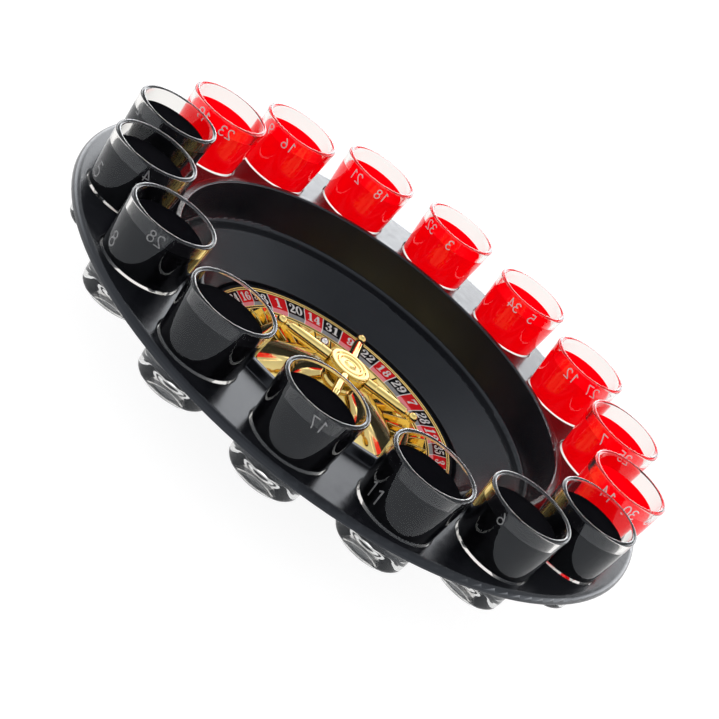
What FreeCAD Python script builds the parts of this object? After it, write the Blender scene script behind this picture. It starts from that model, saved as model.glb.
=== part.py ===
"""Drinking roulette wheel: a round tray with a bowl, a spinning number rotor and sixteen shot glasses.

Origin: centre of the tray on the surface that it stands on. +Z is up, and the front is towards -Y.
All sizes are in millimetres. A turned piece is drawn as its half section (radius, height) and revolved.
"""
import FreeCAD, Part
import math
import os

import Sketcher

OUT_FOLDER = "parts"
SHEET_NAME = "Dims"

# Driving dimensions. Heights are above the surface that the tray stands on.
DIMENSIONS = {
    # tray: flat deck, raised lip round the bowl, ball track, slope, well for the rotor
    "tray_radius": 145.0,
    "tray_wall": 2.2,
    "skirt_depth": 3.6,
    "deck_edge_round": 2.5,
    "deck_height": 45.0,
    "lip_rise": 3.3,
    "lip_inner_radius": 97.4,
    "lip_width": 3.2,
    "lip_foot_width": 1.8,
    "track_outer_radius": 96.0,
    "track_inner_radius": 90.2,
    "track_height": 27.3,
    "well_radius": 70.8,
    "well_edge_height": 14.2,
    "well_draft": 1.2,
    "floor_top": 4.2,
    "floor_bottom": 2.4,
    "foot_inner_radius": 55.0,
    "foot_outer_radius": 63.0,
    "foot_bottom": 1.2,
    "boss_radius": 6.0,
    "boss_top": 5.2,
    "pad_radius": 3.5,
    # shot glasses, wedged in round holes of the deck
    "glass_circle_radius": 122.6,
    "glass_hole_radius": 17.2,
    "glass_hole_round": 0.8,
    "glass_rim_radius": 19.0,
    "glass_base_radius": 15.7,
    "glass_bottom": 27.5,
    "glass_top": 70.2,
    "glass_floor": 44.6,
    "glass_inner_rim_radius": 16.8,
    "glass_inner_floor_radius": 14.7,
    "punt_radius": 12.2,
    "punt_depth": 0.9,
    # rotor: disc, printed number ring, pocket ring with its frets, cone
    "rotor_radius": 69.4,
    "rotor_bottom": 5.0,
    "rotor_floor": 6.3,
    "rotor_hub_radius": 9.0,
    "rotor_hub_top": 14.6,
    "number_inner_radius": 55.0,
    "number_outer_radius": 67.4,
    "number_inner_top": 10.5,
    "number_outer_top": 13.3,
    "number_bevel_radius": 57.2,
    "number_bevel_top": 11.7,
    "number_thick": 0.6,
    "pocket_inner_radius": 35.8,
    "pocket_outer_radius": 54.9,
    "pocket_floor": 7.5,
    "pocket_rim_top": 10.6,
    "fret_inner_radius": 35.9,
    "fret_outer_radius": 53.6,
    "fret_top": 10.5,
    "fret_top_width": 0.9,
    "fret_base_width": 2.3,
    "cone_base_radius": 35.5,
    "cone_base_height": 10.2,
    "cone_top_radius": 10.9,
    "cone_top_height": 20.0,
    "cone_wall": 1.6,
    # turret: hub, four arms with ball ends, cap
    "turret_radius": 9.9,
    "turret_flange_radius": 10.7,
    "turret_top": 29.0,
    "turret_spigot_radius": 5.0,
    "cap_socket_radius": 4.0,
    "cap_socket_floor": 25.4,
    "cap_radius": 9.9,
    "cap_top": 30.4,
    "cap_relief": 0.6,
    "arm_height": 27.3,
    "arm_spigot_radius": 1.5,
    "arm_spigot_start": 5.0,
    "arm_root_radius": 2.75,
    "arm_rod_radius": 2.55,
    "arm_end_radius": 2.1,
    "arm_neck_radius": 1.15,
    "arm_ball_radius": 2.4,
    "arm_ball_centre": 35.3,
    # spindle, bearing and ball
    "spindle_radius": 2.5,
    "spindle_bottom": 1.6,
    "spindle_top": 15.3,
    "bush_bore_radius": 2.55,
    "bush_radius": 4.0,
    "bush_bottom": 5.95,
    "bush_top": 15.0,
    "bush_flange_radius": 5.2,
    "screw_radius": 1.2,
    "screw_head_radius": 2.6,
    "screw_head_height": 1.5,
    "washer_thick": 0.7,
    "ball_radius": 2.5,
    "ball_circle_radius": 48.8,
}

GLASS_COUNT = 16
FIRST_GLASS_ANGLE = -90.0
FRET_COUNT = 37
FRET_PHASE = 143.9
BALL_POCKET = 3.56
ARM_COUNT = 4
FIRST_ARM_ANGLE = 5.7
PAD_COUNT = 4
FIRST_PAD_ANGLE = 45.0
AXIS_LENGTH = 10.0
COLOURS_ROUND_THE_WHEEL = ["black"] * 4 + ["red"] * 8 + ["black"] * 4


class Size:
    """A number together with the spreadsheet expression that gives it."""

    def __init__(self, value, text):
        self.value = value
        self.text = text

    def join(self, other, sign, value):
        return Size(value, "({} {} {})".format(self.text, sign, as_size(other).text))

    def __add__(self, other):
        return self.join(other, "+", self.value + as_size(other).value)

    def __sub__(self, other):
        return self.join(other, "-", self.value - as_size(other).value)

    def __mul__(self, other):
        return self.join(other, "*", self.value * as_size(other).value)

    def __truediv__(self, other):
        return self.join(other, "/", self.value / as_size(other).value)


def as_size(number):
    if isinstance(number, Size):
        return number
    return Size(float(number), "{:g}".format(number))


class Named:
    """The driving dimensions, one attribute each."""


doc = FreeCAD.newDocument("roulette_wheel")
sheet = doc.addObject("Spreadsheet::Sheet", SHEET_NAME)
dim = Named()
for row, (alias, number) in enumerate(DIMENSIONS.items(), start=1):
    sheet.set("A{}".format(row), alias)
    sheet.set("B{}".format(row), "{:g}".format(number))
    sheet.setAlias("B{}".format(row), alias)
    setattr(dim, alias, Size(number, "{}.{}".format(SHEET_NAME, alias)))
doc.recompute()

nodes = []


def origin_plane(body, role):
    return next(feature for feature in body.Origin.OriginFeatures if feature.Role == role)


def new_body(label):
    body = doc.addObject("PartDesign::Body", label)
    body.Label = label
    nodes.append(body)
    return body


def new_sketch(body, plane_role, offset=None):
    sketch = body.newObject("Sketcher::SketchObject", "Section")
    sketch.AttachmentSupport = [(origin_plane(body, plane_role), "")]
    sketch.MapMode = "FlatFace"
    if offset is not None:
        sketch.AttachmentOffset = FreeCAD.Placement(
            FreeCAD.Vector(0, 0, offset.value), FreeCAD.Rotation())
        sketch.setExpression("AttachmentOffset.Base.z", offset.text)
    return sketch


def bind(sketch, constraint, size):
    index = sketch.addConstraint(constraint)
    sketch.setExpression("Constraints[{}]".format(index), size.text)


def pin_point(sketch, geometry, point, across, up):
    """Holds one point of the sketch at (across, up) from its origin."""
    bind(sketch, Sketcher.Constraint("DistanceX", -1, 1, geometry, point, across.value), across)
    bind(sketch, Sketcher.Constraint("DistanceY", -1, 1, geometry, point, up.value), up)


def round_corner(before, corner, after, radius):
    """The arc of a rounded corner: its two ends, its centre and its start and end angles."""
    to_before = (before - corner).normalize()
    to_after = (after - corner).normalize()
    half_angle = to_before.getAngle(to_after) / 2
    reach = radius / math.tan(half_angle)
    start = corner + to_before * reach
    end = corner + to_after * reach
    centre = corner + (to_before + to_after).normalize() * (radius / math.sin(half_angle))
    return start, end, centre


def outline(sketch, corners):
    """A closed outline. Each corner is (across, up) or (across, up, rounding radius)."""
    corners = [tuple(as_size(item) for item in corner) for corner in corners]
    points = [FreeCAD.Vector(corner[0].value, corner[1].value, 0) for corner in corners]
    count = len(corners)
    starts, ends, centres = list(points), list(points), [None] * count
    for index, corner in enumerate(corners):
        if len(corner) == 3:
            starts[index], ends[index], centres[index] = round_corner(
                points[index - 1], points[index], points[(index + 1) % count], corner[2].value)
    lines = []
    for index in range(count):
        lines.append(sketch.addGeometry(
            Part.LineSegment(ends[index], starts[(index + 1) % count]), False))
    for index, corner in enumerate(corners):
        line_in, line_out = lines[index - 1], lines[index]
        if len(corner) == 2:
            sketch.addConstraint(Sketcher.Constraint("Coincident", line_in, 2, line_out, 1))
            pin_point(sketch, line_out, 1, corner[0], corner[1])
            continue
        centre, radius = centres[index], corner[2]
        first = math.atan2(starts[index].y - centre.y, starts[index].x - centre.x)
        last = math.atan2(ends[index].y - centre.y, ends[index].x - centre.x)
        turns_left = math.sin(last - first) > 0
        if not turns_left:
            first, last = last, first
        circle = Part.Circle(centre, FreeCAD.Vector(0, 0, 1), radius.value)
        arc = sketch.addGeometry(Part.ArcOfCircle(circle, first, last), False)
        mark = sketch.addGeometry(Part.Point(points[index]), True)
        arc_in, arc_out = (1, 2) if turns_left else (2, 1)
        sketch.addConstraint(Sketcher.Constraint("Tangent", line_in, 2, arc, arc_in))
        sketch.addConstraint(Sketcher.Constraint("Tangent", line_out, 1, arc, arc_out))
        sketch.addConstraint(Sketcher.Constraint("PointOnObject", mark, 1, line_in))
        sketch.addConstraint(Sketcher.Constraint("PointOnObject", mark, 1, line_out))
        bind(sketch, Sketcher.Constraint("Radius", arc, radius.value), radius)
        pin_point(sketch, mark, 1, corner[0], corner[1])


def revolve(body, sketch, axis, kind="PartDesign::Revolution"):
    feature = body.newObject(kind, "Turned")
    feature.Profile = sketch
    feature.ReferenceAxis = (sketch, [axis])
    feature.Angle = 360.0
    return feature


def turned(label, corners, axis="V_Axis"):
    """A turned piece in a body of its own."""
    body = new_body(label)
    sketch = new_sketch(body, "XZ_Plane")
    outline(sketch, corners)
    revolve(body, sketch, axis)
    return body


def pattern_round(body, feature, count):
    """Repeats a feature evenly round the vertical axis."""
    doc.recompute()
    pattern = body.newObject("PartDesign::PolarPattern", "Round")
    pattern.Originals = [feature]
    pattern.Axis = (origin_plane(body, "Z_Axis"), [""])
    pattern.Angle = 360.0
    pattern.Occurrences = count
    body.Tip = pattern


def place(item, angle, radius=None, height=None):
    """Puts a piece at an angle round the wheel, out at a radius and up at a height."""
    radius, height = as_size(radius or 0), as_size(height or 0)
    turn = math.radians(angle)
    item.Placement = FreeCAD.Placement(
        FreeCAD.Vector(radius.value * math.cos(turn), radius.value * math.sin(turn), height.value),
        FreeCAD.Rotation(FreeCAD.Vector(0, 0, 1), angle))
    item.setExpression("Placement.Base.x", "{} * cos({:g} deg)".format(radius.text, angle))
    item.setExpression("Placement.Base.y", "{} * sin({:g} deg)".format(radius.text, angle))
    item.setExpression("Placement.Base.z", height.text)


def tray():
    """One black moulding: deck with sixteen holes, bowl, rotor well, foot ring and spindle boss."""
    wall = dim.tray_wall
    deck = dim.deck_height
    deck_under = deck - wall
    lip_top = deck + dim.lip_rise
    lip_outer = dim.lip_inner_radius + dim.lip_width
    skirt_bottom = deck - dim.skirt_depth
    skirt_inner = dim.tray_radius - wall
    track_under = dim.track_height - wall
    well_under = dim.well_edge_height - wall * 0.8
    body = turned("tray", [
        (dim.spindle_radius, dim.foot_bottom),
        (dim.spindle_radius, dim.boss_top),
        (dim.boss_radius, dim.boss_top, 0.3),
        (dim.boss_radius + 0.6, dim.floor_top, 0.4),
        (dim.well_radius - dim.well_draft, dim.floor_top, 1.2),
        (dim.well_radius, dim.well_edge_height, 0.7),
        (dim.track_inner_radius, dim.track_height, 4.0),
        (dim.track_outer_radius, dim.track_height, 2.2),
        (dim.lip_inner_radius, lip_top, 0.9),
        (lip_outer, lip_top, 1.1),
        (lip_outer + dim.lip_foot_width, deck, 1.2),
        (dim.tray_radius, deck, dim.deck_edge_round),
        (dim.tray_radius, skirt_bottom, 0.5),
        (skirt_inner, skirt_bottom, 0.3),
        (skirt_inner, deck_under, 0.6),
        (dim.track_outer_radius + wall * 1.7, deck_under, 2.0),
        (dim.track_outer_radius + wall, track_under, 3.6),
        (dim.track_inner_radius + wall * 0.5, track_under, 3.0),
        (dim.well_radius + wall, well_under, 2.0),
        (dim.well_radius + wall * 0.7, dim.floor_top + 1.2, 1.0),
        (dim.well_radius - wall, dim.floor_bottom, 2.0),
        (dim.foot_outer_radius, dim.floor_bottom, 0.3),
        (dim.foot_outer_radius, dim.foot_bottom, 0.3),
        (dim.foot_inner_radius, dim.foot_bottom, 0.3),
        (dim.foot_inner_radius, dim.floor_bottom, 0.3),
        (dim.boss_radius + wall, dim.floor_bottom, 0.3),
        (dim.boss_radius + wall, dim.foot_bottom, 0.3),
    ])
    doc.recompute()
    volume_before = body.Shape.Volume
    hole = new_sketch(body, "XZ_Plane")
    centre, edge = dim.glass_circle_radius, dim.glass_circle_radius + dim.glass_hole_radius
    outline(hole, [
        (centre, deck_under - 1),
        (edge, deck_under - 1),
        (edge, deck, dim.glass_hole_round),
        (edge + 1.5, deck),
        (edge + 1.5, deck + 1),
        (centre, deck + 1),
    ])
    axis_line = Part.LineSegment(
        FreeCAD.Vector(centre.value, 0, 0), FreeCAD.Vector(centre.value, AXIS_LENGTH, 0))
    axis = hole.addGeometry(axis_line, True)
    pin_point(hole, axis, 1, centre, as_size(0))
    pin_point(hole, axis, 2, centre, as_size(AXIS_LENGTH))
    groove = revolve(body, hole, "Axis0", "PartDesign::Groove")
    pattern_round(body, groove, GLASS_COUNT)
    doc.recompute()
    removed = volume_before - body.Shape.Volume
    expected = GLASS_COUNT * math.pi * dim.glass_hole_radius.value ** 2 * wall.value
    if not 0.97 * expected < removed < 1.1 * expected:
        raise RuntimeError("the glass holes removed {:.0f} mm3".format(removed))


def foot_pads():
    """Four anti-slip pads glued under the foot ring."""
    middle = (dim.foot_inner_radius + dim.foot_outer_radius) / 2
    pads = []
    for index in range(PAD_COUNT):
        pad = doc.addObject("Part::Cylinder", "Pad{}".format(index + 1))
        pad.setExpression("Radius", dim.pad_radius.text)
        pad.setExpression("Height", dim.foot_bottom.text)
        place(pad, FIRST_PAD_ANGLE + index * 360.0 / PAD_COUNT, middle)
        pads.append(pad)
    group = doc.addObject("Part::Compound", "foot_pads")
    group.Label = "foot_pads"
    group.Links = pads
    nodes.append(group)


def spindle():
    """Steel pin pressed into the boss, the washer that the rotor turns on, and what holds it down."""
    turned("spindle_pin", [
        (0, dim.spindle_bottom),
        (dim.spindle_radius - 0.3, dim.spindle_bottom),
        (dim.spindle_radius, dim.spindle_bottom + 0.3),
        (dim.spindle_radius, dim.spindle_top),
        (dim.screw_radius, dim.spindle_top),
        (dim.screw_radius, dim.spindle_top - 8),
        (0, dim.spindle_top - 8.5),
    ])
    washer_top = dim.boss_top + dim.washer_thick
    turned("thrust_washer", [
        (dim.spindle_radius + 0.1, dim.boss_top),
        (dim.boss_radius - 0.6, dim.boss_top),
        (dim.boss_radius - 0.6, washer_top),
        (dim.spindle_radius + 0.1, washer_top),
    ])
    head_bottom = dim.spindle_top + dim.washer_thick
    turned("retaining_washer", [
        (dim.screw_radius + 0.1, dim.spindle_top),
        (dim.bush_flange_radius - 0.4, dim.spindle_top),
        (dim.bush_flange_radius - 0.4, head_bottom),
        (dim.screw_radius + 0.1, head_bottom),
    ])
    head_top = head_bottom + dim.screw_head_height
    screw = turned("retaining_screw", [
        (0, dim.spindle_top - 7.4),
        (dim.screw_radius, dim.spindle_top - 6.6),
        (dim.screw_radius, head_bottom),
        (dim.screw_head_radius, head_bottom),
        (dim.screw_head_radius, head_top, 0.7),
        (0, head_top),
    ])
    slot = new_sketch(screw, "XY_Plane", head_top)
    half_length, half_width = dim.screw_head_radius * 1.2, as_size(0.35)
    minus = as_size(-1)
    outline(slot, [
        (minus * half_length, minus * half_width),
        (half_length, minus * half_width),
        (half_length, half_width),
        (minus * half_length, half_width),
    ])
    doc.recompute()
    volume_before = screw.Shape.Volume
    pocket = screw.newObject("PartDesign::Pocket", "Slot")
    pocket.Profile = slot
    pocket.setExpression("Length", (dim.screw_head_height / 2).text)
    doc.recompute()
    if screw.Shape.Volume >= volume_before:
        raise RuntimeError("the screw slot removed nothing")


def rotor():
    """Black disc with its bearing bush, the printed number ring, the pocket ring and the cone."""
    seat_inner = dim.number_inner_top - dim.number_thick
    seat_bevel = dim.number_bevel_top - dim.number_thick
    seat_outer = dim.number_outer_top - dim.number_thick
    recess = dim.boss_radius + 1.4
    turned("rotor_disc", [
        (dim.bush_radius, dim.bush_bottom),
        (dim.bush_radius, dim.rotor_hub_top),
        (dim.rotor_hub_radius - 2, dim.rotor_hub_top, 0.5),
        (dim.rotor_hub_radius, dim.rotor_floor, 0.8),
        (dim.pocket_outer_radius, dim.rotor_floor),
        (dim.pocket_outer_radius, seat_inner),
        (dim.number_bevel_radius, seat_bevel),
        (dim.number_outer_radius, seat_outer),
        (dim.number_outer_radius, dim.number_outer_top),
        (dim.rotor_radius, dim.number_outer_top, 0.7),
        (dim.rotor_radius, dim.number_outer_top - 3, 0.5),
        (dim.number_outer_radius, dim.number_outer_top - 3.2, 1.0),
        (dim.number_inner_radius + 3, dim.rotor_bottom, 1.5),
        (recess, dim.rotor_bottom),
        (recess, dim.bush_bottom),
    ])
    turned("rotor_bush", [
        (dim.bush_bore_radius, dim.bush_bottom),
        (dim.bush_radius, dim.bush_bottom),
        (dim.bush_radius, dim.rotor_hub_top),
        (dim.bush_flange_radius, dim.rotor_hub_top),
        (dim.bush_flange_radius, dim.bush_top),
        (dim.bush_bore_radius, dim.bush_top),
    ])
    turned("number_ring", [
        (dim.number_inner_radius, seat_inner),
        (dim.number_bevel_radius, seat_bevel),
        (dim.number_outer_radius, seat_outer),
        (dim.number_outer_radius, dim.number_outer_top),
        (dim.number_bevel_radius, dim.number_bevel_top),
        (dim.number_inner_radius, dim.number_inner_top),
    ])
    turned("centre_cone", [
        (dim.cone_base_radius, dim.rotor_floor),
        (dim.cone_base_radius, dim.cone_base_height, 0.6),
        (dim.cone_top_radius, dim.cone_top_height, 1.5),
        (dim.turret_spigot_radius, dim.cone_top_height),
        (dim.turret_spigot_radius, dim.cone_top_height - dim.cone_wall),
        (dim.cone_top_radius - 0.4, dim.cone_top_height - dim.cone_wall),
        (dim.cone_base_radius - dim.cone_wall, dim.cone_base_height - dim.cone_wall * 0.8),
        (dim.cone_base_radius - dim.cone_wall, dim.rotor_floor),
    ])


def pocket_ring():
    """Gold ring of pockets, one for each number, with a tapered fret between each two."""
    body = turned("pocket_ring", [
        (dim.pocket_inner_radius, dim.rotor_floor),
        (dim.pocket_outer_radius, dim.rotor_floor),
        (dim.pocket_outer_radius, dim.pocket_rim_top, 0.3),
        (dim.pocket_outer_radius - 1.4, dim.pocket_rim_top, 0.4),
        (dim.pocket_outer_radius - 3.2, dim.pocket_floor, 1.5),
        (dim.pocket_inner_radius + 1.8, dim.pocket_floor, 0.8),
        (dim.pocket_inner_radius + 0.9, dim.pocket_floor + 1, 0.3),
        (dim.pocket_inner_radius, dim.pocket_floor + 1),
    ])
    doc.recompute()
    volume_before = body.Shape.Volume
    section = new_sketch(body, "YZ_Plane", dim.fret_inner_radius)
    base_half, top_half = dim.fret_base_width / 2, dim.fret_top_width / 2
    bottom = dim.pocket_floor - 0.5
    minus = as_size(-1)
    outline(section, [
        (minus * base_half, bottom),
        (base_half, bottom),
        (top_half, dim.fret_top, 0.25),
        (minus * top_half, dim.fret_top, 0.25),
    ])
    fret = body.newObject("PartDesign::Pad", "Fret")
    fret.Profile = section
    fret.setExpression("Length", (dim.fret_outer_radius - dim.fret_inner_radius).text)
    pattern_round(body, fret, FRET_COUNT)
    doc.recompute()
    if body.Shape.Volume <= volume_before:
        raise RuntimeError("the frets added nothing")
    body.Placement = FreeCAD.Placement(
        FreeCAD.Vector(), FreeCAD.Rotation(FreeCAD.Vector(0, 0, 1), FRET_PHASE))


def turret():
    """Hub on top of the cone, four arms with ball ends let into it, and the ringed cap."""
    spigot_bottom = dim.cone_top_height - dim.cone_wall
    hub = turned("turret_hub", [
        (0, spigot_bottom),
        (dim.turret_spigot_radius, spigot_bottom),
        (dim.turret_spigot_radius, dim.cone_top_height),
        (dim.turret_flange_radius, dim.cone_top_height),
        (dim.turret_flange_radius, dim.cone_top_height + 1.2, 0.5),
        (dim.turret_radius, dim.cone_top_height + 2.4, 0.6),
        (dim.turret_radius, dim.turret_top, 0.3),
        (dim.cap_socket_radius, dim.turret_top),
        (dim.cap_socket_radius, dim.cap_socket_floor),
        (0, dim.cap_socket_floor),
    ])
    doc.recompute()
    volume_before = hub.Shape.Volume
    bore = new_sketch(hub, "YZ_Plane", dim.arm_spigot_start)
    circle = Part.Circle(FreeCAD.Vector(0, dim.arm_height.value, 0), FreeCAD.Vector(0, 0, 1),
                         dim.arm_spigot_radius.value)
    ring = bore.addGeometry(circle, False)
    pin_point(bore, ring, 3, as_size(0), dim.arm_height)
    bind(bore, Sketcher.Constraint("Radius", ring, dim.arm_spigot_radius.value),
         dim.arm_spigot_radius)
    pocket = hub.newObject("PartDesign::Pocket", "ArmBore")
    pocket.Profile = bore
    pocket.Reversed = True
    pocket.setExpression("Length", dim.turret_radius.text)
    pattern_round(hub, pocket, ARM_COUNT)
    doc.recompute()
    if hub.Shape.Volume >= volume_before:
        raise RuntimeError("the arm bores removed nothing")
    hub.Placement = FreeCAD.Placement(
        FreeCAD.Vector(), FreeCAD.Rotation(FreeCAD.Vector(0, 0, 1), FIRST_ARM_ANGLE))

    ball_start = dim.arm_ball_centre - dim.arm_ball_radius
    ball_end = dim.arm_ball_centre + dim.arm_ball_radius
    for index, side in enumerate(["right", "back", "left", "front"]):
        arm = turned("turret_arm_" + side, [
            (dim.arm_spigot_start, 0),
            (dim.arm_spigot_start, dim.arm_spigot_radius),
            (dim.turret_radius, dim.arm_spigot_radius),
            (dim.turret_radius, dim.arm_root_radius, 0.3),
            (dim.turret_radius + 4.7, dim.arm_root_radius, 0.3),
            (dim.turret_radius + 5.3, dim.arm_rod_radius, 0.3),
            (ball_start - 6, dim.arm_rod_radius, 3.0),
            (ball_start - 2, dim.arm_end_radius, 1.6),
            (ball_start - 0.7, dim.arm_neck_radius, 0.6),
            (ball_start + 0.1, dim.arm_neck_radius, 0.15),
            (ball_start + 0.1, dim.arm_ball_radius, 2.1),
            (ball_end, dim.arm_ball_radius, 2.35),
            (ball_end, 0),
        ], "H_Axis")
        place(arm, FIRST_ARM_ANGLE + index * 360.0 / ARM_COUNT, height=dim.arm_height)

    top, low = dim.cap_top, dim.cap_top - dim.cap_relief
    turned("turret_cap", [
        (0, dim.cap_socket_floor + 0.6),
        (dim.cap_socket_radius - 0.05, dim.cap_socket_floor + 0.6),
        (dim.cap_socket_radius - 0.05, dim.turret_top),
        (dim.cap_radius, dim.turret_top, 0.3),
        (dim.cap_radius, top, 0.6),
        (dim.cap_radius - 1.9, top, 0.3),
        (dim.cap_radius - 2.3, low, 0.2),
        (dim.cap_radius - 3.0, low, 0.2),
        (dim.cap_radius - 3.4, top, 0.25),
        (dim.cap_radius - 4.4, top, 0.25),
        (dim.cap_radius - 4.9, low, 0.2),
        (dim.cap_radius - 6.6, low, 1.0),
        (dim.cap_radius - 8.2, top, 0.8),
        (0, top),
    ])


def steel_ball():
    """Loose ball, lying in one pocket."""
    ball = doc.addObject("Part::Sphere", "steel_ball")
    ball.Label = "steel_ball"
    ball.setExpression("Radius", dim.ball_radius.text)
    angle = FRET_PHASE - BALL_POCKET * 360.0 / FRET_COUNT
    place(ball, angle, dim.ball_circle_radius, dim.pocket_floor + dim.ball_radius + 0.03)
    nodes.append(ball)


def shot_glasses():
    """Sixteen shot glasses with thick bases, numbered from the front towards +X."""
    counts = {"black": 0, "red": 0}
    for index, colour in enumerate(COLOURS_ROUND_THE_WHEEL):
        counts[colour] += 1
        glass = turned("glass_{}_{}".format(colour, counts[colour]), [
            (0, dim.glass_bottom + dim.punt_depth),
            (dim.punt_radius, dim.glass_bottom + dim.punt_depth, 0.8),
            (dim.punt_radius + 1.0, dim.glass_bottom, 0.5),
            (dim.glass_base_radius, dim.glass_bottom, 1.3),
            (dim.glass_rim_radius, dim.glass_top, 1.05),
            (dim.glass_inner_rim_radius, dim.glass_top, 1.05),
            (dim.glass_inner_floor_radius, dim.glass_floor, 2.6),
            (0, dim.glass_floor),
        ])
        place(glass, FIRST_GLASS_ANGLE + index * 360.0 / GLASS_COUNT, dim.glass_circle_radius)


def check_and_export():
    doc.recompute()
    for item in doc.Objects:
        if "Invalid" in item.State or "Error" in item.State:
            raise RuntimeError("{} failed: {}".format(item.Label, item.State))
    for node in nodes:
        if node.Shape.isNull() or not node.Shape.isValid():
            raise RuntimeError("{} has no valid shape".format(node.Label))
    os.makedirs(OUT_FOLDER, exist_ok=True)
    for node in nodes:
        node.Shape.exportStep(os.path.join(OUT_FOLDER, node.Label + ".step"))
        box = node.Shape.BoundBox
        print("{:20s} {:2d} solid(s) {:9.1f} mm3".format(
            node.Label, len(node.Shape.Solids), node.Shape.Volume))
        print("  x {:7.2f} {:7.2f}  y {:7.2f} {:7.2f}  z {:6.2f} {:6.2f}".format(
            box.XMin, box.XMax, box.YMin, box.YMax, box.ZMin, box.ZMax))


tray()
foot_pads()
spindle()
rotor()
pocket_ring()
turret()
steel_ball()
shot_glasses()
check_and_export()
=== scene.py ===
import math

import bmesh
import bpy
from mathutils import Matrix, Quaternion, Vector
from mathutils.geometry import delaunay_2d_cdt


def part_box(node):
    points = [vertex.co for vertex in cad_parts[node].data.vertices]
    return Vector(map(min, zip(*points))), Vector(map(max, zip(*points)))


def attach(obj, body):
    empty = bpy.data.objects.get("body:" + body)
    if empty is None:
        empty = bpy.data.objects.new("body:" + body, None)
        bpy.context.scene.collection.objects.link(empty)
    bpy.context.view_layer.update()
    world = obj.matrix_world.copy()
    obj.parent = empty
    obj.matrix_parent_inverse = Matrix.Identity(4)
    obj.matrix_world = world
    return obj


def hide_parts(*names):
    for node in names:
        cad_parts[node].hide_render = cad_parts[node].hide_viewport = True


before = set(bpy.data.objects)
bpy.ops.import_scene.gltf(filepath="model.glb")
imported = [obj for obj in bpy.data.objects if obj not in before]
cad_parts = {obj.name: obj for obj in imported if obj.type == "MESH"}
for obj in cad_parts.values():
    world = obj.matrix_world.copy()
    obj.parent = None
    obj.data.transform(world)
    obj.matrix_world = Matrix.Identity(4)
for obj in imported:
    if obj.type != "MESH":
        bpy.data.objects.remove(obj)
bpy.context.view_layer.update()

MM = 0.001
TURN = 2 * math.pi

# camera
CAMERA_PLACE = Vector((0.0, -0.6971, 0.3329))
CAMERA_AIM = Vector((0.0015, -0.0037, 0.0361))
CAMERA_ROLL = math.radians(39.23)
CAMERA_LENS = 88.46
CAMERA_SENSOR = 36
CAMERA_NEAR = 0.01

# floor and light
FLOOR_RADIUS = 9.0
FLOOR_SIDES = 64
LIGHT_COLOUR = (0.97, 0.98, 1.0, 1)
# strengths that change with one coordinate of the direction: the value at one end and at the
# other, and the coordinate at each end
EVEN_LIGHT = (0.92, 0.5, 0.7, 0.97)
BEHIND = (0.0, 1.0, 0.0, 0.6)
LOW_BAND = (3.0, 0.0, 0.345, 0.375)
WINDOW_LEFT = (0.0, 1.0, -0.35, -0.08)
WINDOW_RIGHT = (1.0, 0.0, -0.02, 0.14)
WINDOW_GLOW = (1.7, 0.9, 0.5, 0.75)
DIMMER = (-0.3, 0.0, 0.5, 0.75)

# noise: its usual range, and where the second colour starts and takes over
NOISE_RANGE = (0.3, 0.7)
COLOUR_CHANGE = (0.35, 0.65)
NOISE_DETAIL = 3.0
# how much lighter the second colour of a pale ink is; the pale inks paint a sheen on the number
# ring's inner bevel
SHEEN_CHANGE = 1.12

# turned pieces: a straight run longer than this gets a ring this close to both its ends
LONG_RUN = 0.6 * MM
RING_TO_END = 0.03 * MM

# glasses and drinks
GLASS_SIDES = 128
DRINK_SIDES = 96
DRINK_LEVEL_BELOW_RIM = 7.2 * MM
GLASS_FLOOR_BELOW_RIM = 25.6 * MM
GLASS_WALL_AT_RIM = 2.2 * MM
GLASS_INNER_FLOOR_RADIUS = 14.7 * MM
GLASS_FLOOR_ROUND = 2.6 * MM
GLASS_FOOT_ROUND = 2.2 * MM
GLASS_RIM_ROUND = 1.05 * MM
GLASS_BASE_RADIUS = 15.7 * MM
DRINK_OVERLAP = 0.08 * MM
# radii where the underside of a drink changes from dark to rings of painted light and back
UNDERSIDE_RINGS = [4.6 * MM, 8.0 * MM, 9.8 * MM, 12.7 * MM]
# a face of the underside lies lower than this, and counts past a radius when beyond this margin
UNDERSIDE_HEIGHT = 0.5 * MM
UNDERSIDE_MARGIN = 0.1 * MM
# hollow under a glass: radius, height above its foot, rounding
PUNT = [
    (0, 5.4 * MM),
    (7.0 * MM, 4.6 * MM, 6.0 * MM),
    (12.6 * MM, 0, 1.2 * MM),
]
# the edge of a drink climbs its glass: distance in from the wall, share of the whole climb
MENISCUS = 0.5 * MM
MENISCUS_STEPS = [(0, 1), (0.5 * MM, 0.6), (1.2 * MM, 0.2), (2.2 * MM, 0)]

# number ring: radii of its bands and heights of its top, from the inner edge outwards, and its
# numbers in their order round it, clockwise from the first cell
RING_INNER_RADIUS = 55.0 * MM
RING_INNER_TOP = 10.5 * MM
BEVEL_RADIUS = 57.2 * MM
BEVEL_TOP = 11.7 * MM
INNER_LINE = 0.35 * MM
BORDER_RADIUS = 65.0 * MM
BORDER_LINE = 0.3 * MM
RIDGE_WIDTH = 0.75 * MM
RIDGE_HEIGHT = 0.12 * MM
GROOVE_WIDTH = 0.45 * MM
SEPARATOR_WIDTH = 0.5 * MM
SHARP_ANGLE = math.radians(14)
NUMERAL_HEIGHT = 5.7 * MM
NUMERAL_RADIUS = 61.3 * MM
INK_THICK = 0.04 * MM
NUMBERS = [1, 20, 14, 31, 9, 22, 18, 29, 7, 28, 12, 35, 3, 26, 0, 32, 15, 19, 4,
           21, 2, 25, 17, 34, 6, 27, 13, 36, 11, 30, 8, 23, 10, 5, 24, 16, 33]
RED_NUMBERS = {1, 3, 5, 7, 9, 12, 14, 16, 18, 19, 21, 23, 25, 27, 30, 32, 34, 36}
FIRST_CELL_ANGLE = math.radians(140.2)
CELL_STEPS = 16

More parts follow.
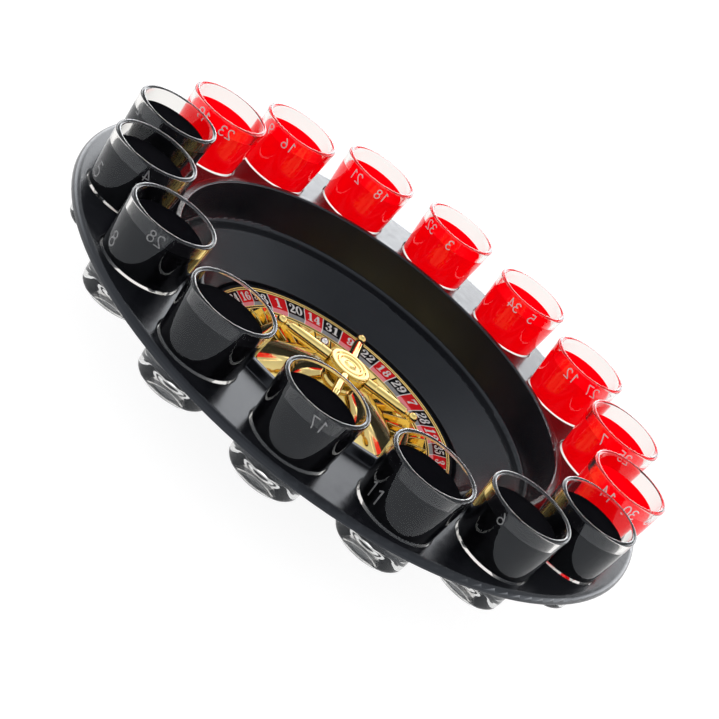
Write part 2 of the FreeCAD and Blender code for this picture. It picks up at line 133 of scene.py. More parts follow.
# rows of numbers on the glasses: distance below the rim, height, and 1 if they read from outside
# or -1 if they read through the glass, as the upper ones do in the photo
UPPER = (4.8 * MM, 5.2 * MM, -1)
LOWER = (17.8 * MM, 6.8 * MM, 1)
# the numbers: text, angle round the glass from its front, row
GLASS_NUMBERS = {
    "glass_black_1": [("17", 14, UPPER)],
    "glass_black_2": [("11", -39, LOWER)],
    "glass_black_3": [("6", -24, UPPER)],
    "glass_black_4": [("24", 165, LOWER)],
    "glass_black_5": [("2", -42, UPPER)],
    "glass_black_6": [("15", -53, LOWER), ("4", 18, UPPER)],
    "glass_black_7": [("8", -42, LOWER), ("28", 6, UPPER)],
    "glass_black_8": [("10", 165, LOWER)],
    "glass_red_1": [("14", -20, UPPER), ("30", 18, UPPER), ("36", 58, UPPER)],
    "glass_red_2": [("7", -22, UPPER), ("25", 16, UPPER)],
    "glass_red_3": [("12", -16, UPPER), ("27", 22, UPPER), ("1", 55, UPPER)],
    "glass_red_4": [("34", -15, UPPER), ("5", 18, UPPER)],
    "glass_red_5": [("32", -40, UPPER), ("3", 2, UPPER)],
    "glass_red_6": [("21", -23, UPPER), ("18", 25, UPPER)],
    "glass_red_7": [("9", -34, UPPER), ("16", 4, UPPER)],
    "glass_red_8": [("19", -18, UPPER), ("23", 22, UPPER)],
}


# ---------------------------------------------------------------- materials

MATERIALS = {}


def new_material(name):
    material = bpy.data.materials.new(name)
    material.use_nodes = True
    tree = material.node_tree
    shader = next(node for node in tree.nodes if node.type == "BSDF_PRINCIPLED")
    return material, tree, shader


def object_noise(tree, scale):
    """Noise fixed to the piece, its scale in waves for each metre."""
    place = tree.nodes.new("ShaderNodeTexCoord")
    noise = tree.nodes.new("ShaderNodeTexNoise")
    noise.inputs["Scale"].default_value = scale
    noise.inputs["Detail"].default_value = NOISE_DETAIL
    tree.links.new(place.outputs["Object"], noise.inputs["Vector"])
    return noise.outputs["Fac"]


def spread(tree, value, low, high, from_low=NOISE_RANGE[0], from_high=NOISE_RANGE[1]):
    """The value carried from one range to another: from_low gives low, from_high gives high."""
    remap = tree.nodes.new("ShaderNodeMapRange")
    remap.inputs["From Min"].default_value = from_low
    remap.inputs["From Max"].default_value = from_high
    remap.inputs["To Min"].default_value = low
    remap.inputs["To Max"].default_value = high
    tree.links.new(value, remap.inputs["Value"])
    return remap.outputs["Result"]


def blend_colours(tree, value, first, second):
    ramp = tree.nodes.new("ShaderNodeValToRGB")
    for stop, colour, position in zip(ramp.color_ramp.elements, (first, second), COLOUR_CHANGE):
        stop.color = (*colour, 1)
        stop.position = position
    tree.links.new(value, ramp.inputs["Fac"])
    return ramp.outputs["Color"]


def add_bump(tree, shader, value, height):
    bump = tree.nodes.new("ShaderNodeBump")
    bump.inputs["Strength"].default_value = 1.0
    bump.inputs["Distance"].default_value = height
    tree.links.new(value, bump.inputs["Height"])
    tree.links.new(bump.outputs["Normal"], shader.inputs["Normal"])


def surface(name, colours, roughness, colour_scale=60, rough_scale=220, bump_scale=900,
            bump_height=0.0, **sockets):
    """Makes a finish whose colour, roughness and relief vary with noise.

    Values that are the same all over go on the shader's own sockets.
    """
    material, tree, shader = new_material(name)
    colour = blend_colours(tree, object_noise(tree, colour_scale), *colours)
    tree.links.new(colour, shader.inputs["Base Color"])
    gloss = spread(tree, object_noise(tree, rough_scale), *roughness)
    tree.links.new(gloss, shader.inputs["Roughness"])
    if bump_height:
        add_bump(tree, shader, object_noise(tree, bump_scale), bump_height)
    for socket, value in sockets.items():
        shader.inputs[socket.replace("_", " ")].default_value = value
    MATERIALS[name] = material


def make_materials():
    surface("black_plastic", ((0.0055, 0.0058, 0.0078), (0.0085, 0.0088, 0.0115)), (0.18, 0.27),
            bump_scale=1400, bump_height=0.000004, IOR=1.47, Specular_Tint=(0.82, 0.9, 1.0, 1.0))
    surface("clear_glass", ((0.865, 0.85, 0.825), (0.885, 0.87, 0.845)), (0.0, 0.006), IOR=1.5,
            Transmission_Weight=1.0, Specular_Tint=(0.68, 0.72, 0.77, 1.0))
    surface("gold_plating", ((0.90, 0.68, 0.24), (0.96, 0.76, 0.31)), (0.05, 0.1), bump_scale=400,
            bump_height=0.000005, Metallic=1.0)
    surface("steel", ((0.55, 0.55, 0.55), (0.66, 0.65, 0.64)), (0.16, 0.3), bump_scale=1500,
            bump_height=0.000003, Metallic=1.0)
    surface("ball_steel", ((0.84, 0.82, 0.81), (0.9, 0.88, 0.87)), (0.16, 0.24), Metallic=1.0)
    surface("bush_brass", ((0.55, 0.36, 0.13), (0.66, 0.45, 0.18)), (0.2, 0.35), Metallic=1.0)
    surface("nylon", ((0.66, 0.65, 0.6), (0.74, 0.73, 0.68)), (0.35, 0.5), bump_height=0.00001,
            Subsurface_Weight=0.15)
    surface("pad_rubber", ((0.018, 0.018, 0.018), (0.03, 0.03, 0.03)), (0.6, 0.8),
            bump_scale=2500, bump_height=0.00003)
    # The red drink's emission is painted light: it makes the drink glow brighter than the lamps
    # light it.
    surface("red_drink", ((0.90, 0.0, 0.002), (0.96, 0.0, 0.004)), (0.1, 0.2), colour_scale=40,
            Specular_IOR_Level=0.0, Emission_Color=(1.0, 0.0, 0.003, 1.0), Emission_Strength=0.5)
    surface("black_drink", ((0.005, 0.005, 0.0065), (0.007, 0.007, 0.0085)), (0.1, 0.2),
            colour_scale=40, Specular_IOR_Level=0.0)
    # Painted light: pale glowing rings on the drinks' undersides, standing in for light gathered
    # through the glass base.
    surface("painted_light_underside", ((0.55, 0.55, 0.55), (0.8, 0.8, 0.8)), (0.4, 0.6), colour_scale=350,
            Specular_IOR_Level=0.0, Emission_Color=(0.96, 0.98, 1.0, 1.0), Emission_Strength=0.42)
    surface("red_glass_ink", ((0.78, 0.7, 0.7), (0.88, 0.8, 0.8)), (0.35, 0.5), colour_scale=900)
    surface("black_glass_ink", ((0.14, 0.14, 0.145), (0.24, 0.24, 0.245)), (0.35, 0.5),
            colour_scale=900)
    surface("print_red", ((0.72, 0.008, 0.012), (0.82, 0.012, 0.016)), (0.05, 0.1),
            colour_scale=300)
    surface("print_black", ((0.005, 0.005, 0.006), (0.009, 0.009, 0.01)), (0.05, 0.1),
            colour_scale=300)
    surface("print_green", ((0.0, 0.19, 0.05), (0.0, 0.24, 0.07)), (0.05, 0.1), colour_scale=300)
    # Paler copies of the red, black and green prints: a painted sheen for the number ring's inner
    # bevel.
    for colour, pale in (("red", (0.88, 0.24, 0.27)), ("black", (0.26, 0.26, 0.27)),
                         ("green", (0.22, 0.42, 0.28))):
        shades = (pale, [SHEEN_CHANGE * part for part in pale])
        surface("print_" + colour + "_pale", shades, (0.06, 0.12), colour_scale=300)
    surface("print_white", ((0.78, 0.76, 0.74), (0.88, 0.86, 0.84)), (0.08, 0.16),
            colour_scale=500)
    surface("print_brown", ((0.12, 0.055, 0.012), (0.2, 0.095, 0.02)), (0.12, 0.25),
            colour_scale=900)
    surface("print_gold", ((0.9, 0.62, 0.2), (0.98, 0.7, 0.26)), (0.12, 0.22), colour_scale=700,
            Metallic=1.0)


make_materials()


def finish_node(node, name):
    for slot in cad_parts[node].material_slots:
        slot.material = MATERIALS[name]


# ---------------------------------------------------------------- geometry

def mesh_piece(name, vertices, faces, materials, face_materials=None, smooth=True):
    mesh = bpy.data.meshes.new(name)
    mesh.from_pydata(vertices, [], faces)
    for material in materials:
        mesh.materials.append(MATERIALS[material])
    if face_materials:
        mesh.polygons.foreach_set("material_index", face_materials)
    mesh.polygons.foreach_set("use_smooth", [smooth] * len(faces))
    mesh.validate()
    piece = bpy.data.objects.new(name, mesh)
    bpy.context.scene.collection.objects.link(piece)
    return piece


def outline(corners, steps=6):
    """Half section of a turned piece: corners (radius, height) or (radius, height, rounding)."""
    points = []
    for index, corner in enumerate(corners):
        here = Vector(corner[:2])
        if len(corner) == 2:
            points.append(here)
            continue
        before = (Vector(corners[index - 1][:2]) - here).normalized()
        after = (Vector(corners[index + 1][:2]) - here).normalized()
        half = before.angle(after) / 2
        centre = here + (before + after).normalized() * (corner[2] / math.sin(half))
        start = here + before * (corner[2] / math.tan(half)) - centre
        end = here + after * (corner[2] / math.tan(half)) - centre
        for step in range(steps + 1):
            arm = start.slerp(end, step / steps)
            points.append(centre + arm.normalized() * corner[2])
    return points


def lathe(points, centre, around):
    """Vertices and faces of an outline that starts and ends on the axis, turned about it.

    Each long straight run gets a ring close to both its ends, so that it shades as straight.
    """
    full = list(points[:1])
    for before, after in zip(points, points[1:]):
        along = after - before
        if along.length > LONG_RUN:
            step_in = along.normalized() * RING_TO_END
            full += [before + step_in, after - step_in]
        full.append(after)
    points = full
    vertices = [Vector((centre.x, centre.y, points[0].y)),
                Vector((centre.x, centre.y, points[-1].y))]
    rings = points[1:-1]
    for point in rings:
        for step in range(around):
            turn = TURN * step / around
            vertices.append(Vector((centre.x + point.x * math.cos(turn),
                                    centre.y + point.x * math.sin(turn), point.y)))
    faces = []
    for step in range(around):
        following = (step + 1) % around
        faces.append((0, 2 + following, 2 + step))
        for row in range(len(rings) - 1):
            low, high = 2 + row * around, 2 + (row + 1) * around
            faces.append((low + step, low + following, high + following, high + step))
        last = 2 + (len(rings) - 1) * around
        faces.append((1, last + step, last + following))
    return vertices, faces


# ---------------------------------------------------------------- numerals

def smooth_line(points, steps=7):
    """A smooth curve through (x, y, width) points."""
    if len(points) == 2:
        return [Vector(point) for point in points]
    knots = [Vector(point) for point in points]
    knots = [2 * knots[0] - knots[1]] + knots + [2 * knots[-1] - knots[-2]]
    line = []
    for index in range(1, len(knots) - 2):
        a, b, c, d = knots[index - 1:index + 3]
        for step in range(steps):
            s = step / steps
            line.append(0.5 * (2 * b + (c - a) * s + (2 * a - 5 * b + 4 * c - d) * s * s
                               + (3 * b - a - 3 * c + d) * s ** 3))
    return line + [knots[-2]]


def ring_line(x, y, wide, tall, thick, thin, steps=28):
    """A closed oval stroke, thick at its sides and thin at its top and bottom."""
    line = []
    for step in range(steps + 1):
        turn = TURN * step / steps
        width = thin + (thick - thin) * math.cos(turn) ** 2
        line.append(Vector((x + wide * math.cos(turn), y + tall * math.sin(turn), width)))
    return line


def dot(x, y, radius, steps=14):
    return [Vector((x + radius * math.cos(TURN * step / steps),
                    y + radius * math.sin(TURN * step / steps), 0)) for step in range(steps)]


# Each numeral fills a box one unit high: strokes as (x, y, width) points, ovals as centre, radii
# and widths at the sides and at the top, and dots as centre and radius.
SIX = {
    "lines": [[(0.55, 0.83, 0.05), (0.44, 0.955, 0.07), (0.29, 0.91, 0.12), (0.15, 0.72, 0.2),
               (0.115, 0.45, 0.22), (0.16, 0.17, 0.18), (0.33, 0.04, 0.08), (0.49, 0.13, 0.17),
               (0.535, 0.31, 0.2), (0.47, 0.49, 0.15), (0.34, 0.56, 0.07), (0.2, 0.47, 0.06)]],
    "dots": [(0.49, 0.79, 0.095)],
}
NUMERALS = {
    "0": {"ovals": [(0.33, 0.5, 0.225, 0.455, 0.21, 0.08)]},
    "1": {"lines": [[(0.35, 0.02, 0.21), (0.35, 0.99, 0.21)],
                    [(0.34, 0.93, 0.11), (0.12, 0.8, 0.07)],
                    [(0.1, 0.04, 0.08), (0.6, 0.04, 0.08)]]},
    "2": {"lines": [[(0.09, 0.75, 0.06), (0.18, 0.92, 0.07), (0.34, 0.96, 0.08),
                     (0.49, 0.86, 0.17), (0.51, 0.7, 0.21), (0.42, 0.5, 0.18),
                     (0.25, 0.3, 0.11), (0.09, 0.1, 0.08)],
                    [(0.06, 0.09, 0.18), (0.57, 0.09, 0.18)],
                    [(0.57, 0.02, 0.06), (0.61, 0.28, 0.06)]],
          "dots": [(0.155, 0.72, 0.105)]},
    "3": {"lines": [[(0.09, 0.79, 0.06), (0.19, 0.93, 0.07), (0.34, 0.96, 0.08),
                     (0.48, 0.87, 0.18), (0.485, 0.71, 0.19), (0.4, 0.57, 0.12),
                     (0.24, 0.53, 0.06)],
                    [(0.24, 0.53, 0.06), (0.42, 0.49, 0.1), (0.53, 0.36, 0.2), (0.52, 0.18, 0.21),
                     (0.38, 0.045, 0.09), (0.2, 0.04, 0.07), (0.08, 0.18, 0.06)]],
          "dots": [(0.15, 0.76, 0.1), (0.145, 0.22, 0.105)]},
    "4": {"lines": [[(0.42, 0.02, 0.2), (0.42, 0.98, 0.2)],
                    [(0.38, 0.95, 0.08), (0.05, 0.28, 0.08)],
                    [(0.02, 0.28, 0.09), (0.63, 0.28, 0.09)],
                    [(0.24, 0.035, 0.07), (0.6, 0.035, 0.07)]]},
    "5": {"lines": [[(0.12, 0.92, 0.16), (0.54, 0.92, 0.13)],
                    [(0.14, 0.95, 0.06), (0.12, 0.5, 0.06)],
                    [(0.12, 0.52, 0.06), (0.29, 0.61, 0.08), (0.47, 0.53, 0.16),
                     (0.53, 0.33, 0.22), (0.47, 0.13, 0.17), (0.32, 0.04, 0.08),
                     (0.17, 0.05, 0.07), (0.07, 0.19, 0.06)]],
          "dots": [(0.135, 0.22, 0.1)]},
    "6": SIX,
    "7": {"lines": [[(0.06, 0.89, 0.19), (0.6, 0.89, 0.19)],
                    [(0.07, 0.97, 0.06), (0.06, 0.66, 0.06)],
                    [(0.58, 0.87, 0.08), (0.41, 0.56, 0.13), (0.31, 0.28, 0.2),
                     (0.29, 0.01, 0.23)]]},
    "8": {"ovals": [(0.33, 0.745, 0.15, 0.215, 0.16, 0.08),
                    (0.33, 0.28, 0.195, 0.24, 0.2, 0.08)]},
    "9": {"half_turn_of": SIX},
}
NUMERAL_WIDTH = 0.66
NUMERAL_GAP = 0.02

# Plain numerals for the glasses, drawn with lines of one width.
LINE_WIDTH = 0.1
PLAIN_NUMERALS = {
    "0": {"ovals": [(0.3, 0.5, 0.25, 0.46)]},
    "1": {"lines": [[(0.1, 0.78), (0.34, 0.95)], [(0.34, 0.0), (0.34, 1.0)]]},
    "2": {"lines": [[(0.06, 0.76), (0.13, 0.91), (0.3, 0.96), (0.48, 0.88), (0.52, 0.7),
                     (0.44, 0.5), (0.24, 0.26), (0.05, 0.04)], [(0.03, 0.04), (0.58, 0.04)]]},
    "3": {"lines": [[(0.07, 0.84), (0.2, 0.95), (0.38, 0.94), (0.5, 0.8), (0.48, 0.64),
                     (0.36, 0.54), (0.22, 0.53)],
                    [(0.22, 0.53), (0.4, 0.51), (0.54, 0.4), (0.55, 0.22), (0.42, 0.07),
                     (0.22, 0.04), (0.05, 0.16)]]},
    "4": {"lines": [[(0.43, 0.0), (0.43, 1.0)], [(0.43, 0.96), (0.05, 0.3)],
                    [(0.01, 0.28), (0.6, 0.28)]]},
    "5": {"lines": [[(0.12, 0.96), (0.53, 0.96)], [(0.13, 1.0), (0.1, 0.52)],
                    [(0.1, 0.54), (0.26, 0.6), (0.44, 0.55), (0.55, 0.38), (0.53, 0.17),
                     (0.38, 0.05), (0.2, 0.04), (0.05, 0.15)]]},
    "6": {"lines": [[(0.42, 0.97), (0.26, 0.78), (0.12, 0.52), (0.06, 0.3)]],
          "ovals": [(0.31, 0.29, 0.25, 0.25)]},
    "7": {"lines": [[(0.04, 0.96), (0.57, 0.96)],
                    [(0.55, 0.96), (0.4, 0.6), (0.26, 0.28), (0.2, 0.0)]]},
    "8": {"ovals": [(0.3, 0.74, 0.2, 0.21), (0.3, 0.28, 0.25, 0.245)]},
    "9": {"lines": [[(0.18, 0.03), (0.34, 0.22), (0.48, 0.48), (0.54, 0.7)]],
          "ovals": [(0.29, 0.71, 0.25, 0.25)]},
}
PLAIN_WIDTH = 0.6
PLAIN_GAP = 0.12

# tolerances for joining the strokes of a numeral, in heights of the numeral
SAME_POINT = 1e-6
MERGE_DISTANCE = 1e-5
FLAT_ANGLE = math.radians(0.5)


def numeral_patches(shape, line_width=None):
    """The numeral as small patches that overlap: pieces of its strokes, and its dots."""
    if "half_turn_of" in shape:
        turned = numeral_patches(shape["half_turn_of"], line_width)
        return [[Vector((NUMERAL_WIDTH - x, 1 - y)) for x, y in patch] for patch in turned]
    lines = []
    for points in shape.get("lines", []):
        if line_width:
            points = [(x, y, line_width) for x, y in points]
        lines.append(smooth_line(points))
    for oval in shape.get("ovals", []):
        lines.append(ring_line(*oval, *([line_width] * 2 if line_width else [])))
    patches = []
    for line in lines:
        sides = []
        for index, point in enumerate(line):
            closed = (line[0] - line[-1]).length < SAME_POINT
            before = line[index - 1] if index else (line[-2] if closed else line[0])
            after = line[(index + 1) % len(line)] if index + 1 < len(line) else (
                line[1] if closed else line[-1])
            along = (after - before).xy.normalized()
            across = Vector((-along.y, along.x)) * (point.z / 2)
            sides.append((point.xy + across, point.xy - across))
        for (left, right), (left_next, right_next) in zip(sides, sides[1:]):
            patches.append([right, right_next, left_next, left])
    patches += [[point.xy for point in dot(*spot)] for spot in shape.get("dots", [])]
    return patches


def flat_numeral(shape, line_width=None):
    """One flat mesh with no overlaps: its points, its triangles and the edges of its outline."""
    points, loops = [], []
    for patch in numeral_patches(shape, line_width):
        loops.append(list(range(len(points), len(points) + len(patch))))
        points += patch
    corners, _, faces, _, _, sources = delaunay_2d_cdt(points, [], loops, 0, MERGE_DISTANCE)
    flat = bmesh.new()
    made = [flat.verts.new((corner.x, corner.y, 0)) for corner in corners]
    for face, source in zip(faces, sources):
        if source:
            flat.faces.new([made[corner] for corner in face])
    loose = [vert for vert in flat.verts if not vert.link_faces]
    bmesh.ops.delete(flat, geom=loose, context="VERTS")
    bmesh.ops.dissolve_limit(flat, angle_limit=FLAT_ANGLE, verts=flat.verts, edges=flat.edges)
    bmesh.ops.triangulate(flat, faces=flat.faces)
    flat.verts.index_update()
    triangles, sides = [], []
    for face in flat.faces:
        ring = [vert.index for vert in face.verts]
        if face.normal.z < 0:
            ring.reverse()
        triangles.append(ring)
        sides += list(zip(ring, ring[1:] + ring[:1]))
    edges = [side for side in sides if (side[1], side[0]) not in sides]
    points = [vert.co.xy.copy() for vert in flat.verts]
    flat.free()
    return points, triangles, edges


def numeral_set(shapes, width, gap, line_width=None):
    """Flat meshes of all the numerals, with the width of each and the gap between two."""
    flats = {letter: flat_numeral(shape, line_width) for letter, shape in shapes.items()}
    return flats, width, gap


def print_number(text, numerals, place, vertices, faces):
    """Adds a number as closed thin layers. place(x, y, lift) gives each point in space."""
    flats, width, gap = numerals
    whole = (width + gap) * len(text) - gap
    for index, letter in enumerate(text):
        shift = index * (width + gap) - whole / 2
        points, triangles, edges = flats[letter]
        top, bottom = len(vertices), len(vertices) + len(points)
        vertices += [place(x + shift, y - 0.5, INK_THICK) for x, y in points]
        vertices += [place(x + shift, y - 0.5, -INK_THICK) for x, y in points]
        for ring in triangles:
            faces.append(tuple(top + corner for corner in ring))
            faces.append(tuple(bottom + corner for corner in reversed(ring)))
        for first, second in edges:
            faces.append((top + first, bottom + first, bottom + second, top + second))


# ---------------------------------------------------------------- pieces

GLASSES = sorted(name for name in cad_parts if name.startswith("glass_"))


def glass_section(node):
    """Where a glass stands: its centre, the height of its rim and its outer radius there."""
    low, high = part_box(node)
    centre = (low + high) / 2
    return centre, high.z, (high.x - low.x) / 2


def add_glass(node):
    """The shot glass, with the domed hollow under its thick base."""
    centre, rim, rim_radius = glass_section(node)
    bottom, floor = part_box(node)[0].z, rim - GLASS_FLOOR_BELOW_RIM
    hollow = [(radius, bottom + height, *rounding) for radius, height, *rounding in PUNT]
    section = outline(hollow + [
        (GLASS_BASE_RADIUS, bottom, GLASS_FOOT_ROUND),
        (rim_radius, rim, GLASS_RIM_ROUND),
        (rim_radius - GLASS_WALL_AT_RIM, rim, GLASS_RIM_ROUND),
        (GLASS_INNER_FLOOR_RADIUS, floor, GLASS_FLOOR_ROUND),
        (0, floor),
    ])
    vertices, faces = lathe(section, centre, GLASS_SIDES)
    piece = mesh_piece(node.replace("glass", "clear_glass"), vertices, faces, ["clear_glass"])
    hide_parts(node)
    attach(piece, node)


def add_drink(node):
    """The drink. Its underside has pale glowing rings, painted light standing in for the light
    the thick clear base gathers.
    """
    centre, rim, rim_radius = glass_section(node)
    top = rim - DRINK_LEVEL_BELOW_RIM
    floor = rim - GLASS_FLOOR_BELOW_RIM
    inner_rim = rim_radius - GLASS_WALL_AT_RIM
    slope = (inner_rim - GLASS_INNER_FLOOR_RADIUS) / GLASS_FLOOR_BELOW_RIM
    wall_at_top = inner_rim - slope * DRINK_LEVEL_BELOW_RIM + DRINK_OVERLAP
    wall_at_floor = GLASS_INNER_FLOOR_RADIUS + DRINK_OVERLAP
    section = outline([
        (0, floor - DRINK_OVERLAP),
        *[(radius, floor - DRINK_OVERLAP) for radius in UNDERSIDE_RINGS],
        (wall_at_floor, floor - DRINK_OVERLAP, GLASS_FLOOR_ROUND),
        *[(wall_at_top - inwards, top + share * MENISCUS) for inwards, share in MENISCUS_STEPS],
        (0, top),
    ])
    colour = node.split("_")[1]
    vertices, faces = lathe(section, centre, DRINK_SIDES)
    # faces of the underside that take the rings of painted light
    underside = []
    for face in faces:
        reach = max((vertices[corner].xy - centre.xy).length for corner in face)
        low = all(vertices[corner].z < floor + UNDERSIDE_HEIGHT for corner in face)
        band = sum(reach > radius + UNDERSIDE_MARGIN for radius in UNDERSIDE_RINGS)
        underside.append(low and band % 2 == 1)
    piece = mesh_piece(node.replace("glass", "drink"), vertices, faces,
                       [colour + "_drink", "painted_light_underside"], underside)
    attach(piece, node)


RING_LOW, RING_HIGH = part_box("number_ring")


def ring_top(radius):
    """Height of the number ring's printed face."""
    if radius < BEVEL_RADIUS:
        share = (radius - RING_INNER_RADIUS) / (BEVEL_RADIUS - RING_INNER_RADIUS)
        return RING_INNER_TOP + share * (BEVEL_TOP - RING_INNER_TOP)
    share = (radius - BEVEL_RADIUS) / (RING_HIGH.x - BEVEL_RADIUS)
    return BEVEL_TOP + share * (RING_HIGH.z - BEVEL_TOP)


def add_number_ring():
    """The printed ring: coloured cells with a painted sheen on their inner bevel, white
    separators, a gold border with a dotted groove.
    """
    first_ridge = BORDER_RADIUS + BORDER_LINE
    groove = first_ridge + RIDGE_WIDTH
    second_ridge = groove + GROOVE_WIDTH
    margin = second_ridge + RIDGE_WIDTH
    # radius, lift above the printed face, and what is printed between it and the next radius
    bands = [
        (RING_INNER_RADIUS, 0, "gold"),
        # the cells' inner bevel takes paler copies of the cell colours, a painted sheen
        (RING_INNER_RADIUS + INNER_LINE, 0, "pale cell"),
        (BEVEL_RADIUS, 0, "cell"),
        ((BEVEL_RADIUS + BORDER_RADIUS) / 2, 0, "cell"),
        (BORDER_RADIUS, 0, "black"),
        (first_ridge, 0, "gold"),
        (first_ridge + RIDGE_WIDTH / 2, RIDGE_HEIGHT, "gold"),
        (groove, 0, "dotted"),
        (second_ridge, 0, "gold"),
        (second_ridge + RIDGE_WIDTH / 2, RIDGE_HEIGHT, "gold"),
        (margin, 0, "black"),
    ]
    section = [(radius, ring_top(radius) + lift) for radius, lift, _ in bands]
    thick = RING_INNER_TOP - RING_LOW.z
    section += [(RING_HIGH.x, RING_HIGH.z), (RING_HIGH.x, RING_HIGH.z - thick),
                (BEVEL_RADIUS, BEVEL_TOP - thick), (RING_INNER_RADIUS, RING_LOW.z)]
    printed = [what for _, _, what in bands] + ["black"] * 4
    names = ["print_red", "print_black", "print_green", "print_red_pale", "print_black_pale",
             "print_green_pale", "print_white", "print_gold", "print_brown"]
    cell = TURN / len(NUMBERS)
    vertices, faces, face_materials = [], [], []
    edge_angle = SEPARATOR_WIDTH / 2 / NUMERAL_RADIUS
    columns = []
    for index, number in enumerate(NUMBERS):
        start = FIRST_CELL_ANGLE - index * cell
        ink = "green" if number == 0 else ("red" if number in RED_NUMBERS else "black")
        columns.append((start + edge_angle, "separator"))
        for step in range(CELL_STEPS):
            share = step / CELL_STEPS
            columns.append((start - edge_angle - share * (cell - 2 * edge_angle), ink))
    for angle, _ in columns:
        for radius, height in section:
            vertices.append((radius * math.cos(angle), radius * math.sin(angle), height))
    rows = len(section)
    for column, (_, ink) in enumerate(columns):
        here, following = column * rows, (column + 1) % len(columns) * rows
        for row in range(rows):
            above = (row + 1) % rows
            faces.append((here + row, following + row, following + above, here + above))
            what = printed[row]
            if what == "dotted":
                name = "print_brown" if column % 2 else "print_gold"
            elif what in ("gold", "black"):
                name = "print_" + what
            elif ink == "separator":
                name = "print_white"
            else:
                # on the bevel the cell takes its paler ink, a painted sheen
                name = "print_" + ink + ("_pale" if what == "pale cell" else "")
            face_materials.append(names.index(name))
    piece = mesh_piece("number_ring_print", vertices, faces, names, face_materials)
    piece.data.set_sharp_from_angle(angle=SHARP_ANGLE)
    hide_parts("number_ring")
    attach(piece, "rotor")


def add_ring_numbers():
    numerals = numeral_set(NUMERALS, NUMERAL_WIDTH, NUMERAL_GAP)
    vertices, faces = [], []
    for index, number in enumerate(NUMBERS):
        middle = FIRST_CELL_ANGLE - (index + 0.5) * TURN / len(NUMBERS)

        def place(x, y, lift):
            radius = NUMERAL_RADIUS + y * NUMERAL_HEIGHT
            angle = middle - x * NUMERAL_HEIGHT / NUMERAL_RADIUS
            return (radius * math.cos(angle), radius * math.sin(angle), ring_top(radius) + lift)

        print_number(str(number), numerals, place, vertices, faces)
    piece = mesh_piece("ring_numbers", vertices, faces, ["print_white"], smooth=False)
    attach(piece, "rotor")


def add_glass_numbers(node, numerals):
    centre, rim, rim_radius = glass_section(node)
    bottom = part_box(node)[0].z
    slope = (rim_radius - GLASS_BASE_RADIUS) / (rim - bottom)
    vertices, faces = [], []
    for text, angle, (below_rim, height, way) in GLASS_NUMBERS[node]:
        middle = math.radians(angle - 90)

        def place(x, y, lift):
            level = rim - below_rim + y * height
            radius = GLASS_BASE_RADIUS + slope * (level - bottom) + way * lift
            turn = middle + way * x * height / rim_radius
            return (centre.x + radius * math.cos(turn), centre.y + radius * math.sin(turn), level)

        print_number(text, numerals, place, vertices, faces)
    ink = node.split("_")[1] + "_glass_ink"
    piece = mesh_piece(node.replace("glass", "numbers"), vertices, faces, [ink], smooth=False)
    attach(piece, node)


# ---------------------------------------------------------------- camera, floor and light

def add_camera():
    camera = bpy.data.objects.new("camera", bpy.data.cameras.new("camera"))
    bpy.context.scene.collection.objects.link(camera)
    camera.location = CAMERA_PLACE
    camera.rotation_mode = "QUATERNION"
    aim = (CAMERA_AIM - CAMERA_PLACE).to_track_quat("-Z", "Y")
    camera.rotation_quaternion = aim @ Quaternion((0, 0, 1), CAMERA_ROLL)
    camera.data.lens = CAMERA_LENS
    camera.data.sensor_width = CAMERA_SENSOR
    camera.data.clip_start = CAMERA_NEAR
    bpy.context.scene.camera = camera


def add_floor():
    turns = [TURN * step / FLOOR_SIDES for step in range(FLOOR_SIDES)]
    vertices = [Vector((FLOOR_RADIUS * math.cos(turn), FLOOR_RADIUS * math.sin(turn), 0))
                for turn in turns]
    surface("floor", ((0.22, 0.22, 0.22), (0.24, 0.24, 0.24)), (0.5, 0.6), colour_scale=3,
            rough_scale=5, Emission_Color=(1, 1, 1, 1), Emission_Strength=0.9,
            Specular_IOR_Level=0.0)
    floor = mesh_piece("floor", vertices, [tuple(range(FLOOR_SIDES))], ["floor"])


def join_values(tree, operation, first, second):
    node = tree.nodes.new("ShaderNodeMath")
    node.operation = operation
    tree.links.new(first, node.inputs[0])
    tree.links.new(second, node.inputs[1])
    return node.outputs["Value"]


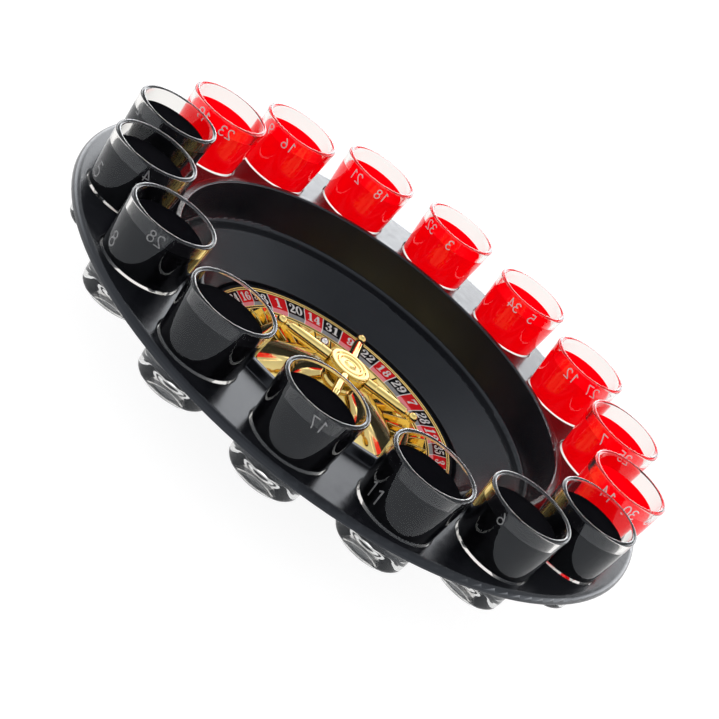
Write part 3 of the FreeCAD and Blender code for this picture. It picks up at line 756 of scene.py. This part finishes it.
def add_light():
    world = bpy.data.worlds.new("studio")
    world.use_nodes = True
    bpy.context.scene.world = world
    tree = world.node_tree
    background = next(node for node in tree.nodes if node.type == "BACKGROUND")
    place = tree.nodes.new("ShaderNodeTexCoord")
    split = tree.nodes.new("ShaderNodeSeparateXYZ")
    tree.links.new(place.outputs["Generated"], split.inputs["Vector"])
    # An even light all round, weaker overhead. Behind the object it is dimmer, but for a bright
    # band near the floor and a soft window a little above that.
    across, height = split.outputs["X"], split.outputs["Z"]
    even = spread(tree, height, *EVEN_LIGHT)
    behind = spread(tree, split.outputs["Y"], *BEHIND)
    low_band = spread(tree, height, *LOW_BAND)
    left_side = spread(tree, across, *WINDOW_LEFT)
    right_side = spread(tree, across, *WINDOW_RIGHT)
    window = join_values(tree, "MULTIPLY", left_side, right_side)
    window_glow = spread(tree, height, *WINDOW_GLOW)
    dimmer = spread(tree, height, *DIMMER)
    raised = join_values(tree, "ADD", join_values(tree, "MULTIPLY", window, window_glow), dimmer)
    back_light = join_values(tree, "MULTIPLY", behind, join_values(tree, "ADD", raised, low_band))
    glow = join_values(tree, "ADD", even, back_light)
    tree.links.new(glow, background.inputs["Strength"])
    background.inputs["Color"].default_value = LIGHT_COLOUR
    bpy.context.scene.view_settings.view_transform = "Standard"


# ---------------------------------------------------------------- the scene

add_camera()
add_floor()
add_light()

FINISHES = {
    "black_plastic": ["tray", "rotor_disc"],
    "gold_plating": ["pocket_ring", "centre_cone", "turret_hub", "turret_cap", "turret_arm_right",
                     "turret_arm_back", "turret_arm_left", "turret_arm_front"],
    "steel": ["spindle_pin", "retaining_screw"],
    "ball_steel": ["steel_ball"],
    "bush_brass": ["rotor_bush"],
    "nylon": ["thrust_washer", "retaining_washer"],
    "pad_rubber": ["foot_pads"],
}
for finish, nodes in FINISHES.items():
    for node in nodes:
        finish_node(node, finish)

add_number_ring()
add_ring_numbers()
plain_numerals = numeral_set(PLAIN_NUMERALS, PLAIN_WIDTH, PLAIN_GAP, LINE_WIDTH)
for glass in GLASSES:
    add_glass(glass)
    add_drink(glass)
    add_glass_numbers(glass, plain_numerals)
